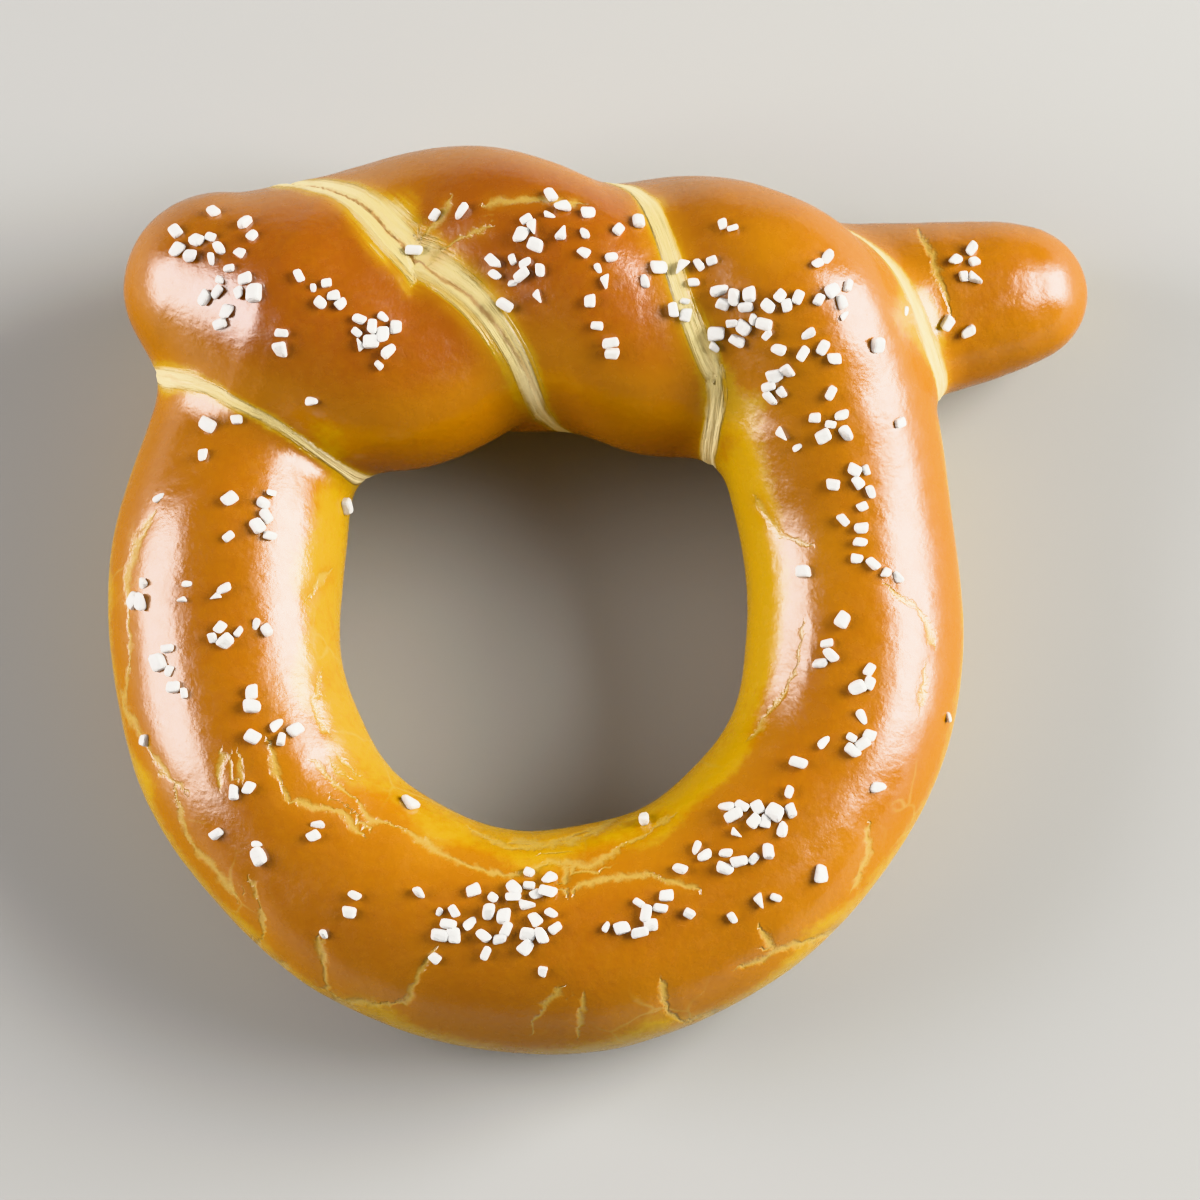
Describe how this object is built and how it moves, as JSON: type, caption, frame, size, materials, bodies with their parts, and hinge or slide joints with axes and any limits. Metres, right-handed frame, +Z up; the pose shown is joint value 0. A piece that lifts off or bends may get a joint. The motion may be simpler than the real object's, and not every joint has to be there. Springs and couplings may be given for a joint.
{
  "type": "soft pretzel",
  "caption": "Soft pretzel: a thick rope of dough bent into a ring, its ends twisted round each other, browned and scattered with coarse salt.",
  "frame": {"origin": "on the sheet it rests on, under the middle of the pretzel's bounding box", "axes": "+Z up from the flat underside to the salted top, +Y from the ring towards the twist, +X along the twist towards the end that lies on the sheet"},
  "size_m": [0.1276, 0.1188, 0.0376],
  "materials": {
    "crust": "glossy golden-brown crust, darker on top, paler in the seams and on the underside",
    "salt": "white translucent crystals with worn corners"
  },
  "bodies": {
    "root": {"pretzel": "crust"}
  },
  "joints": []
}
